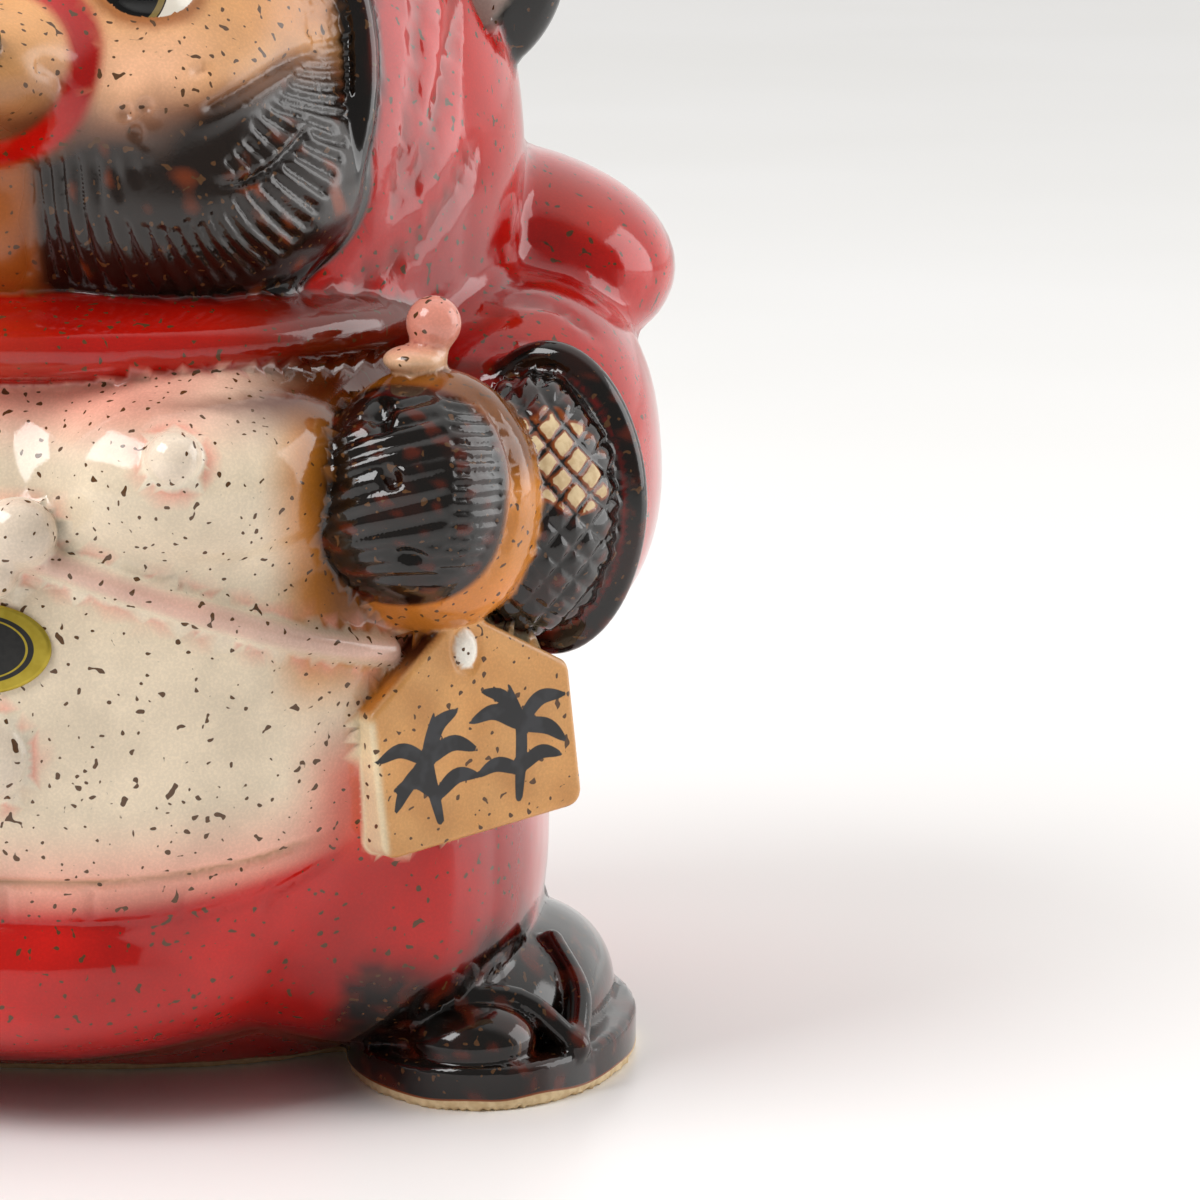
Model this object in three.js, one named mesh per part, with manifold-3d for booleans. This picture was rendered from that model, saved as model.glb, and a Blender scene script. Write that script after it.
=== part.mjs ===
// A glazed ceramic tanuki in a red hood, with a flask in its left paw and a lucky tablet below it.
// Millimetres, +Z up. The figure faces -Y and its left side is +X. The origin is under its middle.
import * as THREE from 'three';
import { mergeVertices } from 'three/addons/utils/BufferGeometryUtils.js';
import Module from 'manifold-3d';

const wasm = await Module();
wasm.setup();

// Depth by which the modelled forms move back, so that the origin is under the middle of the casting.
const MIDDLE_Y = 8.4;

// Rounded forms: centre, half sizes, turns in degrees, how square the section is, and how softly it joins.
const BODY = { at: [0, -10, 62], half: [67, 74, 62], square: 2.6 };
const SEAT = { at: [0, 6, 30], half: [61, 51, 40], square: 3, soft: 8 };
const POUCH = { at: [0, -32, 24], half: [45, 50, 20], square: 2.2, soft: 2 };
const HOOD = { at: [0, 3, 128], half: [68, 66, 78], square: 2.1 };
const FACE = { at: [0, -16, 146], half: [54, 52, 48] };
const SNOUT = { at: [0, -60, 150], half: [14.5, 25, 11], soft: 5 };
const NOSE = { at: [0, -84, 155], half: [4.6, 3.5, 3.5] };
const KNOT = { at: [5.5, -83.5, 87.5], half: [5.5, 4.5, 5] };
const KNOT_END = { at: [3, -83.5, 82], half: [2.4, 3.5, 3.4] };
const CHIN = { at: [0, -50, 126], half: [10, 18, 12], soft: 5 };
const TAIL = { at: [0, 54, 22], half: [17, 18, 23], turn: [-14, 0, 0] };
const CAPE = { at: [0, 24, 113], half: [80, 44, 14], square: 2.3 };
const COLLAR = { at: [0, -3, 111.5], half: [59, 74.5, 9], square: 2.5 };
const NAVEL = { at: [0, -83, 56], half: [6.7, 4.5, 6.7] };

// Rounded forms of the left side, which the right side mirrors.
const JOWL = { at: [20, -37, 132], half: [30, 35, 21], soft: 6 };
const CHEEK = { at: [17, -44, 145], half: [25, 29, 16], soft: 8 };
const EYE = { at: [19.5, -57.5, 159], half: [8.3, 8.5, 8.6] };
const EAR = { at: [56, 1, 163], half: [19, 8, 21], square: 2.1 };
const BREAST = { at: [26, -58, 93], half: [25, 28.5, 17], soft: 4 };
const NIPPLE = { at: [27.3, -84.5, 98], half: [4, 4, 4] };
const HIP = { at: [44, -14, 50], half: [27, 52, 30], square: 2.3, soft: 4 };
const LEG = { at: [48, -16, 32], half: [24.5, 47, 29], square: 2.6, soft: 4 };
const SLEEVE = { at: [65.5, -5, 87], half: [23.5, 38, 28], turn: [0, -4, 0], square: 2.4 };
const FOREARM = { at: [73, -44, 86], half: [12.5, 17, 19], turn: [0, 0, -20] };
const PAW = { at: [58, -60.5, 90], half: [14.5, 17, 15.5], turn: [0, 0, -12], square: 2.2 };
const FLAP = { at: [70, 22, 116.5], half: [20.5, 24, 13], turn: [0, 24, 0], square: 2.2 };
const INSTEP = { at: [64, -18, 6], half: [18.5, 34, 15], turn: [0, 0, -4], square: 2.2 };
const TOE = { at: [65, -50, 8.5], half: [9, 8, 5.5], turn: [0, 0, 14] };
const CUFF = { at: [75, -38, 86], half: [12.5, 20.5], turn: [0, 0, -16], tube: 2.4 };
const SOLE = { at: [65, -22], half: [21.5, 37], tall: 6.5, edge: 1.2 };

// Flask held behind the left paw: its neck runs up through a flared lip to a round stopper.
const FLASK = { at: [59.5, -57, 88.5], half: [16.2, 15, 19], neck: 2.6 };
const LIP = { at: [57.5, -58, 108.6], half: [4.3, 4.3, 2.1] };
const STOPPER = { at: [60.2, -56, 113.5], half: [3.9, 3.9, 3.9] };

// House-shaped tablet below the flask, turned out and leaning, with a blind hanging hole.
const TABLET = {
  at: [66.5, -59, 52.3], turn: 40, lean: 7, thick: 8, half: 17.3, foot: -11.5, shoulder: 9.5, peak: 21.5,
  hole: 16.5, bore: 2.2, bite: 1.4,
};

// Opening of the hood round the face: an upright oval cut from the front, with a thick rim.
const OPENING = { half: [48.5, 45], up: 147, deep: -20, long: 100, rim: 3, sunk: 1.2 };

// Cord across the chest, from the right shoulder to the knot and on to the left hip.
const STRAP = { radius: 2.2, chest: [[-3, 88], [-16, 97], [-30, 107]], hip: [[4, 85], [16, 81], [30, 76], [44, 71], [54, 68]] };

const LABEL = { up: 71.4, half: [10, 6.3], gap: 0.3, thick: 0.3 };

// Fur below each cheek: grooves from the line under the cheek to the collar and the edge of the hood.
const LOCKS = { count: 7, inner: [8, 42], high: [136, 145], outer: [8, 46.5], low: [120, 146], sag: 3, swing: 3, radius: 0.8 };

// Carved lines of the left side: distance from the centre line and height along each, radius and steps.
const GROOVES = [
  [[[23, 144], [30, 144.5], [36, 148], [43, 151]], 0.9, 3],
  [[[22, 140], [27, 136], [33, 134], [39, 136.5], [43, 141]], 0.9, 4],
  [[[54.5, 160], [55.5, 145], [53, 127]], 1.3, 3],
  [[[59, 158], [59, 144], [55, 128]], 1.3, 3],
  [[[63, 134], [57, 124], [48, 117]], 1.3, 3],
  [[[66, 110], [74, 111.5], [81, 107]], 1.1, 3],
  [[[69, 119.5], [75, 117], [82, 114]], 1.1, 2],
];

// Crossed lines of the left forearm, and the pits between the fingers of its paw.
const HATCH = [
  [[[74, 102], [80, 96], [86, 88]], 0.8, 2],
  [[[72, 93], [78, 85], [83, 77]], 0.8, 2],
  [[[84, 101], [79, 96], [73, 88]], 0.8, 2],
  [[[86, 91], [80, 84], [74, 76]], 0.8, 2],
];
const PITS = [[54.1, 102.5], [56, 95], [58.6, 83.5]];
const PIT_RADIUS = 1.9;

// Upper and lower line of the trousers' hem.
const HEM = {
  radius: 0.9,
  upper: [[-46, 42.5], [-29, 39], [0, 37.6], [29, 39], [46, 42.5]],
  lower: [[-46, 38.5], [-29, 32.5], [0, 31.5], [29, 32.5], [46, 38.5]],
};

// Straps of the sandal, from between the toes to either side of the foot.
const THONGS = [
  [[79.5, -47, 7], [71, -46.5, 13.5], [60.5, -49.5, 14], [52.5, -46, 8.5]],
  [[79.5, -47, 7], [79, -37, 12.5], [74.5, -29, 18]],
];
const THONG_RADIUS = 1.9;

const GLAZE_RED = 0xb81d14;
const GOLD = 0xb8a136;

const { lerp } = THREE.MathUtils;

// Solid of a three.js geometry whose shared corners are merged.
function solidOf(geometry) {
  const bare = geometry.clone();
  bare.deleteAttribute('normal');
  bare.deleteAttribute('uv');
  const merged = mergeVertices(bare, 1e-4);
  const mesh = new wasm.Mesh({
    numProp: 3,
    vertProperties: Float32Array.from(merged.attributes.position.array),
    triVerts: Uint32Array.from(merged.index.array),
  });
  mesh.merge();
  return new wasm.Manifold(mesh);
}

// The same geometry on the other side of the figure, with its faces still pointing out.
function mirrored(geometry) {
  const other = geometry.index ? geometry.toNonIndexed() : geometry.clone();
  const p = other.attributes.position;
  for (let i = 0; i < p.count; i += 3) {
    const corners = [0, 2, 1].map((k) => [-p.getX(i + k), p.getY(i + k), p.getZ(i + k)]);
    corners.forEach((corner, k) => p.setXYZ(i + k, ...corner));
  }
  return other;
}

function turnOf(form) {
  const [x, y, z] = (form.turn ?? [0, 0, 0]).map(THREE.MathUtils.degToRad);
  return new THREE.Matrix4().makeRotationFromEuler(new THREE.Euler(x, y, z));
}

// Rounded form as a sphere drawn out to its half sizes.
function rounded(form, round, up) {
  const square = form.square ?? 2;
  const geometry = new THREE.SphereGeometry(1, round, up).rotateX(Math.PI / 2);
  const p = geometry.attributes.position;
  for (let i = 0; i < p.count; i += 1) {
    const d = [p.getX(i), p.getY(i), p.getZ(i)];
    const reach = d.reduce((sum, v) => sum + Math.abs(v) ** square, 0) ** (-1 / square);
    p.setXYZ(i, ...d.map((v, k) => v * reach * form.half[k]));
  }
  geometry.applyMatrix4(turnOf(form));
  return geometry.translate(...form.at);
}

// About how far a point is outside a rounded form, and below 0 how deep inside it.
function outside(form, point) {
  const square = form.square ?? 2;
  form.back ??= turnOf(form).transpose();
  const q = point.clone().sub(new THREE.Vector3(...form.at)).applyMatrix4(form.back).toArray();
  const share = q.map((v, k) => Math.abs(v / form.half[k]));
  const size = share.reduce((sum, v) => sum + v ** square, 0) ** (1 / square);
  const slope = Math.hypot(...share.map((v, k) => (v / size) ** (square - 1) / form.half[k]));
  return (size - 1) / slope;
}

// Several forms run together, each softened where it joins the ones before it.
function joined(forms, point) {
  let far = outside(forms[0], point);
  for (const form of forms.slice(1)) {
    const next = outside(form, point);
    const soft = form.soft ?? 1;
    far = Math.min(far, next) - Math.max(soft - Math.abs(far - next), 0) ** 2 / (4 * soft);
  }
  return far;
}

// Distance from a point inside the joined forms to their surface, along a direction.
function reachOf(forms, from, way) {
  let inner = 0;
  let outer = 140;
  for (let step = 0; step < 22; step += 1) {
    const middle = (inner + outer) / 2;
    if (joined(forms, from.clone().addScaledVector(way, middle)) < 0) {
      inner = middle;
    } else {
      outer = middle;
    }
  }
  return inner;
}

// Sphere whose corners move out to the joined forms, with closer corners in front.
function moulded(forms, from, round, up, closer = 0) {
  const centre = new THREE.Vector3(...from);
  const geometry = new THREE.SphereGeometry(1, round, up).rotateX(Math.PI / 2).rotateZ(Math.PI / 2);
  const p = geometry.attributes.position;
  for (let i = 0; i < p.count; i += 1) {
    const flat = Math.hypot(p.getX(i), p.getY(i));
    const turn = Math.atan2(p.getX(i), -p.getY(i));
    const warped = turn - closer * Math.sin(turn);
    const way = new THREE.Vector3(flat * Math.sin(warped), -flat * Math.cos(warped), p.getZ(i));
    const surface = way.clone().multiplyScalar(reachOf(forms, centre, way)).add(centre);
    p.setXYZ(i, surface.x, surface.y, surface.z);
  }
  return geometry;
}

// Point on the front of joined forms at a distance from the centre line and a height.
function onFront(forms, x, z, lift = 0) {
  const from = new THREE.Vector3(x, forms[0].at[1], z);
  const y = from.y - reachOf(forms, from, new THREE.Vector3(0, -1, 0)) - lift;
  return new THREE.Vector3(x, y, z);
}

// Rod of an even section along points, with flat ends.
function rod(points, radius, sides) {
  const section = new THREE.Shape(new THREE.EllipseCurve(0, 0, radius, radius).getPoints(sides).slice(0, -1));
  const path = new THREE.CatmullRomCurve3(points);
  const steps = points.length - 1;
  return new THREE.ExtrudeGeometry(section, { steps, bevelEnabled: false, extrudePath: path });
}

// Rod through pairs of distance from the centre line and height, at the depth that a function gives.
function drawn(pairs, pointAt, radius, sides, steps) {
  const curve = new THREE.SplineCurve(pairs.map(([x, z]) => new THREE.Vector2(x, z)));
  return rod(curve.getPoints(steps).map(({ x, y }) => pointAt(x, y)), radius, sides);
}

// Oval ring, upright and facing the front before its turn.
function ring(form, round, sides, depthAt = () => 0) {
  const geometry = new THREE.TorusGeometry(1, 0.5, sides, round);
  const p = geometry.attributes.position;
  for (let i = 0; i < p.count; i += 1) {
    const a = Math.atan2(p.getY(i), p.getX(i));
    const out = (Math.hypot(p.getX(i), p.getY(i)) - 1) * 2 * form.tube;
    const x = (form.half[0] + out) * Math.cos(a);
    const z = (form.half[1] + out) * Math.sin(a);
    p.setXYZ(i, x, depthAt(x, z) - 2 * form.tube * p.getZ(i), z);
  }
  geometry.applyMatrix4(turnOf(form));
  return geometry.translate(...form.at);
}

// Form of the right side that answers one of the left side.
function twin(form) {
  const [x, y, z] = form.turn ?? [0, 0, 0];
  return { ...form, at: [-form.at[0], form.at[1], form.at[2]], turn: [x, -y, -z] };
}

const both = (forms) => forms.flatMap((form) => (form.at[0] ? [form, twin(form)] : [form]));
const torsoForms = both([BODY, SEAT, BREAST, HIP, LEG, POUCH]);
const faceForms = both([FACE, CHEEK, JOWL, CHIN]);

const opening = new THREE.CylinderGeometry(1, 1, OPENING.long, 24)
  .scale(OPENING.half[0], 1, OPENING.half[1])
  .translate(0, OPENING.deep - OPENING.long / 2, OPENING.up);
const hoodAt = (x, z) => onFront([HOOD], x, z + OPENING.up).y + OPENING.sunk;
const rim = ring({ at: [0, 0, OPENING.up], half: OPENING.half, tube: OPENING.rim }, 24, 4, hoodAt);

const soleOutline = new THREE.Shape()
  .absellipse(0, 0, SOLE.half[0] - SOLE.edge, SOLE.half[1] - SOLE.edge, 0, 2 * Math.PI);
const sole = new THREE.ExtrudeGeometry(soleOutline, {
  depth: SOLE.tall - SOLE.edge,
  bevelThickness: SOLE.edge,
  bevelSize: SOLE.edge,
  bevelSegments: 1,
  curveSegments: 8,
}).translate(...SOLE.at, 0);

const house = new THREE.Shape()
  .moveTo(-TABLET.half, TABLET.foot)
  .lineTo(TABLET.half, TABLET.foot)
  .lineTo(TABLET.half, TABLET.shoulder)
  .lineTo(0, TABLET.peak)
  .lineTo(-TABLET.half, TABLET.shoulder);
const hole = new THREE.Path().absarc(0, TABLET.hole, TABLET.bore, 0, 2 * Math.PI, true);
const facing = house.clone();
facing.holes.push(hole);
const stand = (geometry) => geometry
  .rotateZ(THREE.MathUtils.degToRad(TABLET.lean))
  .rotateX(Math.PI / 2)
  .rotateZ(THREE.MathUtils.degToRad(TABLET.turn))
  .translate(...TABLET.at);
const tablet = stand(new THREE.ExtrudeGeometry(house, { depth: TABLET.thick, bevelEnabled: false })
  .translate(0, 0, -TABLET.thick));
const tabletHole = stand(new THREE.CylinderGeometry(TABLET.bore, TABLET.bore, 2 * TABLET.bite, 10)
  .rotateX(Math.PI / 2)
  .translate(0, TABLET.hole, 0));

const onTorso = (x, z) => onFront(torsoForms, x, z);
const hipStrap = drawn(STRAP.hip, onTorso, STRAP.radius, 5, 6);
const chestStrap = drawn(STRAP.chest, onTorso, STRAP.radius, 5, 3);
const thongs = THONGS.map((points) => rod(points.map((at) => new THREE.Vector3(...at)), THONG_RADIUS, 4));
const flaskNeck = rod([FLASK.at, LIP.at, STOPPER.at].map((at) => new THREE.Vector3(...at)), FLASK.neck, 5);

const single = [
  moulded(torsoForms, [0, -10, 58], 31, 18, 0.25),
  rim, hipStrap, chestStrap, tablet, flaskNeck,
  rounded(SNOUT, 12, 8), rounded(NOSE, 6, 5), rounded(COLLAR, 24, 5), rounded(CAPE, 20, 5),
  rounded(TAIL, 10, 6), rounded(NAVEL, 8, 4), rounded(FLASK, 11, 7), rounded(STOPPER, 8, 5),
  rounded(LIP, 6, 3),
];
const sided = [
  rounded(EYE, 10, 6), rounded(EAR, 12, 6), rounded(NIPPLE, 6, 4), rounded(KNOT, 6, 5),
  rounded(KNOT_END, 5, 4), rounded(SLEEVE, 15, 9), rounded(FOREARM, 12, 7), rounded(PAW, 12, 8),
  rounded(FLAP, 12, 7), rounded(INSTEP, 12, 6), rounded(TOE, 8, 5), ring(CUFF, 14, 4), sole,
  ...thongs,
];

let figure = solidOf(rounded(HOOD, 28, 14))
  .subtract(solidOf(opening))
  .add(solidOf(moulded(faceForms, [0, -14, 146], 24, 16, 0.45)));
for (const piece of [...single, ...sided, ...sided.map(mirrored)]) {
  figure = figure.add(solidOf(piece));
}
const ground = new THREE.BoxGeometry(400, 400, 100).translate(0, 0, -50);
figure = figure.subtract(solidOf(ground)).subtract(solidOf(tabletHole));

// Point on the front of the casting, where a groove is cut.
const casting = meshOf(figure, 'casting', {});
casting.material.side = THREE.DoubleSide;
const sight = new THREE.Raycaster();
function onCasting(x, z) {
  sight.set(new THREE.Vector3(x, -200, z), new THREE.Vector3(0, 1, 0));
  return sight.intersectObject(casting)[0].point;
}

const cuts = [];
for (let i = 0; i < LOCKS.count; i += 1) {
  const share = i / (LOCKS.count - 1);
  const rise = share ** LOCKS.swing;
  const high = [lerp(...LOCKS.inner, share), lerp(...LOCKS.high, rise) - LOCKS.sag * Math.sin(Math.PI * share)];
  const low = [lerp(...LOCKS.outer, share ** 0.8), lerp(...LOCKS.low, rise)];
  cuts.push(drawn([high, low], onCasting, LOCKS.radius, 3, 2));
}
cuts.push(...GROOVES.map(([pairs, radius, steps]) => drawn(pairs, onCasting, radius, 3, steps)));
const armCuts = HATCH.map(([pairs, radius, steps]) => drawn(pairs, onCasting, radius, 3, steps));
for (const [x, z] of PITS) {
  armCuts.push(new THREE.SphereGeometry(PIT_RADIUS, 6, 4).translate(...onCasting(x, z).toArray()));
}
const hemCuts = [HEM.upper, HEM.lower].map((pairs) => drawn(pairs, onCasting, HEM.radius, 3, 7));
for (const cut of [...hemCuts, ...armCuts, ...cuts, ...cuts.map(mirrored)]) {
  figure = figure.subtract(solidOf(cut));
}

// Foil label bent to the belly, with a hair of glue behind it.
const foil = new THREE.CylinderGeometry(1, 1, 1, 20, 1).rotateX(Math.PI / 2);
const foilCorners = foil.attributes.position;
for (let i = 0; i < foilCorners.count; i += 1) {
  const x = foilCorners.getX(i) * LABEL.half[0];
  const z = LABEL.up + foilCorners.getY(i) * LABEL.half[1];
  const lift = LABEL.gap + (foilCorners.getZ(i) > 0 ? LABEL.thick : 0);
  foilCorners.setXYZ(i, ...onFront(torsoForms, x, z, lift).toArray());
}

// Facets of the outer skin alone, so that a pocket shut in between two forms is filled.
function outerSkin(triVerts) {
  const root = new Map();
  const rootOf = (corner) => {
    let at = corner;
    while (root.has(at)) {
      at = root.get(at);
    }
    return at;
  };
  for (let i = 0; i < triVerts.length; i += 3) {
    const first = rootOf(triVerts[i]);
    for (const corner of [triVerts[i + 1], triVerts[i + 2]]) {
      const other = rootOf(corner);
      if (other !== first) {
        root.set(other, first);
      }
    }
  }
  const skins = new Map();
  for (let i = 0; i < triVerts.length; i += 3) {
    const at = rootOf(triVerts[i]);
    skins.set(at, [...(skins.get(at) ?? []), triVerts[i], triVerts[i + 1], triVerts[i + 2]]);
  }
  return [...skins.values()].sort((a, b) => b.length - a.length)[0];
}

function meshOf(solid, name, material) {
  const { vertProperties, triVerts } = solid.getMesh();
  const geometry = new THREE.BufferGeometry();
  geometry.setAttribute('position', new THREE.Float32BufferAttribute(vertProperties, 3));
  geometry.setIndex(outerSkin(triVerts));
  geometry.computeVertexNormals();
  const mesh = new THREE.Mesh(geometry, new THREE.MeshStandardMaterial(material));
  mesh.name = name;
  return mesh;
}

const tanuki = new THREE.Group();
tanuki.add(meshOf(figure, 'tanuki_figure', { color: GLAZE_RED, roughness: 0.12, metalness: 0 }));
tanuki.add(meshOf(solidOf(foil), 'oval_label', { color: GOLD, roughness: 0.3, metalness: 0.6 }));
tanuki.position.y = MIDDLE_Y;

export default tanuki;
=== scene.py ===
import math

import bpy
import numpy as np
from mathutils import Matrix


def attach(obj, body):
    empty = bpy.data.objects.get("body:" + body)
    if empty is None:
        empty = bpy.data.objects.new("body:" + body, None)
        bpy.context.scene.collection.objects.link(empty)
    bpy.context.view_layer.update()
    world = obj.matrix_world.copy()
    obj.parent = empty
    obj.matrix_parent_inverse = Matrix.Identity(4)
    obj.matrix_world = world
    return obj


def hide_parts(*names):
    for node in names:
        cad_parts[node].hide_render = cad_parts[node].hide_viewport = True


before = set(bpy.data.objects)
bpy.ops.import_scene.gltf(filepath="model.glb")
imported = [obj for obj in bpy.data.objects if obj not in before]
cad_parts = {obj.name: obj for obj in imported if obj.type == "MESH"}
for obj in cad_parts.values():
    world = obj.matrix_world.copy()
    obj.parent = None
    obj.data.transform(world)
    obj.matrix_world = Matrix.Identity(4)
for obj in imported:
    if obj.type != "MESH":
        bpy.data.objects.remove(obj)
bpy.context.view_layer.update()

# The forms are in millimetres, with the figure facing -Y and its left side at +X, as in the part's source.
# MIDDLE_Y moves them back so that the origin is under the middle of the casting.
MM = 0.001
MIDDLE_Y = 8.4

BODY = dict(at=(0, -10, 62), half=(67, 74, 62), square=2.6)
SEAT = dict(at=(0, 6, 30), half=(61, 51, 40), square=3, soft=8)
POUCH = dict(at=(0, -32, 24), half=(45, 50, 20), square=2.2, soft=2)
HOOD = dict(at=(0, 3, 128), half=(68, 66, 78), square=2.1)
FACE = dict(at=(0, -16, 146), half=(54, 52, 48))
SNOUT = dict(at=(0, -60, 150), half=(14.5, 25, 11))
NOSE = dict(at=(0, -84, 155), half=(4.6, 3.5, 3.5))
KNOT = dict(at=(5.5, -83.5, 87.5), half=(5.5, 4.5, 5))
KNOT_END = dict(at=(3, -83.5, 82), half=(2.4, 3.5, 3.4))
CHIN = dict(at=(0, -50, 126), half=(10, 18, 12), soft=5)
TAIL = dict(at=(0, 54, 22), half=(17, 18, 23), turn=(-14, 0, 0))
CAPE = dict(at=(0, 24, 113), half=(80, 44, 14), square=2.3)
COLLAR = dict(at=(0, -3, 111.5), half=(59, 74.5, 9), square=2.5)
NAVEL = dict(at=(0, -83, 56), half=(6.7, 4.5, 6.7))
JOWL = dict(at=(20, -37, 132), half=(30, 35, 21), soft=6)
CHEEK = dict(at=(17, -44, 145), half=(25, 29, 16), soft=8)
EYE = dict(at=(19.5, -57.5, 159), half=(8.3, 8.5, 8.6))
EAR = dict(at=(56, 1, 163), half=(19, 8, 21), square=2.1)
EAR_HOLLOW = dict(at=(59, -8.5, 163), half=(11.5, 6, 14))
BREAST = dict(at=(26, -58, 93), half=(25, 28.5, 17), soft=4)
NIPPLE = dict(at=(27.3, -84.5, 98), half=(4, 4, 4))
HIP = dict(at=(44, -14, 50), half=(27, 52, 30), square=2.3, soft=4)
LEG = dict(at=(48, -16, 32), half=(24.5, 47, 29), square=2.6, soft=4)
SLEEVE = dict(at=(65.5, -5, 87), half=(23.5, 38, 28), turn=(0, -4, 0), square=2.4)
FOREARM = dict(at=(73, -44, 86), half=(12.5, 17, 19), turn=(0, 0, -20))
PAW = dict(at=(58, -60.5, 90), half=(14.5, 17, 15.5), turn=(0, 0, -12), square=2.2)
FLAP = dict(at=(70, 22, 116.5), half=(20.5, 24, 13), turn=(0, 24, 0), square=2.2)
INSTEP = dict(at=(64, -18, 6), half=(18.5, 34, 15), turn=(0, 0, -4), square=2.2)
TOE = dict(at=(65, -50, 8.5), half=(9, 8, 5.5), turn=(0, 0, 14))
CUFF = dict(at=(75, -38, 86), half=(12.5, 20.5), turn=(0, 0, -16), tube=2.4)
SOLE = dict(at=(65, -22), half=(21.5, 37), tall=6.5, edge=1.2)
FLASK = dict(at=(59.5, -57, 88.5), half=(16.2, 15, 19))
NECK = dict(at=(58.5, -57.5, 101), tip=(60.2, -56, 113.5), radius=2.6)
LIP = dict(at=(57.5, -58, 108.6), half=(4.3, 4.3, 2.1))
STOPPER = dict(at=(60.2, -56, 113.5), half=(3.9, 3.9, 3.9))
TABLET = dict(at=(66.5, -59, 52.3), turn=40, lean=7, thick=8, hole=15.6, bore=(1.9, 2.7), edge=0.9, corner=2.4)
TABLET_CORE = ((-14.9, -9.1), (14.9, -9.1), (14.9, 8.3), (0, 18.6), (-14.9, 8.3))
OPENING = dict(half=(48.5, 45), up=147, deep=-20, rim=2.6, sunk=1.2)
CORD = dict(radius=2.1, points=((-30, 107), (-16, 97), (-3, 88), (4, 85), (16, 81), (30, 76), (44, 71), (54, 68)))
LABEL = dict(up=71.4, half=(10, 6.3), gap=0.3, thick=0.25)
THONGS = (
    ((79.5, -47, 7), (71, -46.5, 13.5), (60.5, -49.5, 14), (52.5, -46, 8.5)),
    ((79.5, -47, 7), (79, -37, 12.5), (74.5, -29, 18)),
)
THONG_RADIUS = 1.9

FAR = 20.0
CELL = 2.35


def smooth(low, high, value):
    """0 below low, 1 above high, and a soft step between; the other way round where high is the lower."""
    share = np.clip((value - low) / (high - low), 0, 1)
    return share * share * (3 - 2 * share)


def joined(a, b, soft):
    return np.minimum(a, b) - np.maximum(soft - np.abs(a - b), 0) ** 2 / (4 * soft)


def turn_of(form):
    x, y, z = (math.radians(angle) for angle in form.get("turn", (0, 0, 0)))
    about_x = np.array(((1, 0, 0), (0, math.cos(x), -math.sin(x)), (0, math.sin(x), math.cos(x))))
    about_y = np.array(((math.cos(y), 0, math.sin(y)), (0, 1, 0), (-math.sin(y), 0, math.cos(y))))
    about_z = np.array(((math.cos(z), -math.sin(z), 0), (math.sin(z), math.cos(z), 0), (0, 0, 1)))
    return about_x @ about_y @ about_z


def twin(form):
    """The same form on the figure's right side."""
    x, y, z = form.get("turn", (0, 0, 0))
    at = form["at"]
    return {**form, "at": (-at[0], *at[1:]), "turn": (x, -y, -z)}


def outside(form, p):
    """About how far points are outside a rounded form, and below 0 how deep inside it."""
    square = form.get("square", 2)
    half = np.array(form["half"], float)
    share = np.abs((p - form["at"]) @ turn_of(form)) / half
    size = np.maximum((share**square).sum(1) ** (1 / square), 1e-6)
    slope = np.sqrt((((share / size[:, None]) ** (square - 1) / half) ** 2).sum(1))
    return (size - 1) / np.maximum(slope, 1e-6)


def box_of(form):
    reach = np.abs(turn_of(form)) @ np.array(form["half"], float)
    return np.array(form["at"]) - reach, np.array(form["at"]) + reach


def near_line(p, line):
    """Distance from points to a line of straight stretches, and the share of it passed at the nearest place."""
    line = np.asarray(line, float)
    best = np.full(len(p), np.inf)
    passed = np.zeros(len(p))
    lengths = np.linalg.norm(np.diff(line, axis=0), axis=1)
    before = np.concatenate(((0,), np.cumsum(lengths)))
    for i, length in enumerate(lengths):
        way = (line[i + 1] - line[i]) / length
        share = np.clip((p - line[i]) @ way, 0, length)
        far = ((p - line[i] - share[:, None] * way) ** 2).sum(1)
        closer = far < best
        best[closer] = far[closer]
        passed[closer] = (before[i] + share[closer]) / before[-1]
    return np.sqrt(best), passed


def curve(points, count):
    """Smooth line through points, in even steps of the points' spacing."""
    points = np.asarray(points, float)
    ends = np.vstack((2 * points[0] - points[1], points, 2 * points[-1] - points[-2]))
    at = np.linspace(0, len(points) - 1, count)
    i = np.minimum(at.astype(int), len(points) - 2)
    t = (at - i)[:, None]
    a, b, c, d = (ends[i + k] for k in range(4))
    return 0.5 * (2 * b + (c - a) * t + (2 * a - 5 * b + 4 * c - d) * t**2 + (3 * b - a - 3 * c + d) * t**3)


def polygon(p, corners):
    """Distance outside a flat outline, below 0 inside it."""
    corners = np.asarray(corners, float)
    best = np.full(len(p), np.inf)
    inside = np.zeros(len(p), bool)
    for a, b in zip(corners, np.roll(corners, -1, axis=0)):
        way = b - a
        share = np.clip(((p - a) @ way) / (way @ way), 0, 1)
        best = np.minimum(best, np.linalg.norm(p - a - share[:, None] * way, axis=1))
        crosses = (a[1] > p[:, 1]) != (b[1] > p[:, 1])
        side = a[0] + (p[:, 1] - a[1]) * way[0] / (way[1] if way[1] else 1e-9)
        inside ^= crosses & (p[:, 0] < side)
    return np.where(inside, -best, best)


# Parts of the casting: each has a box, how softly it joins the rest, and a function for the distance outside it.
PARTS = {}


def part(name, distance, low, high, soft):
    PARTS[name] = (distance, np.array(low, float) - 9, np.array(high, float) + 9, soft)


def group(forms):
    def distance(p):
        far = outside(forms[0], p)
        for form in forms[1:]:
            far = joined(far, outside(form, p), form.get("soft", 1))
        return far
    return distance


def part_of(name, soft, *forms):
    boxes = [box_of(form) for form in forms]
    part(name, group(forms), np.min([b[0] for b in boxes], 0), np.max([b[1] for b in boxes], 0), soft)


def both(*forms):
    return [one for form in forms for one in ((form, twin(form)) if form["at"][0] else (form,))]


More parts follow.
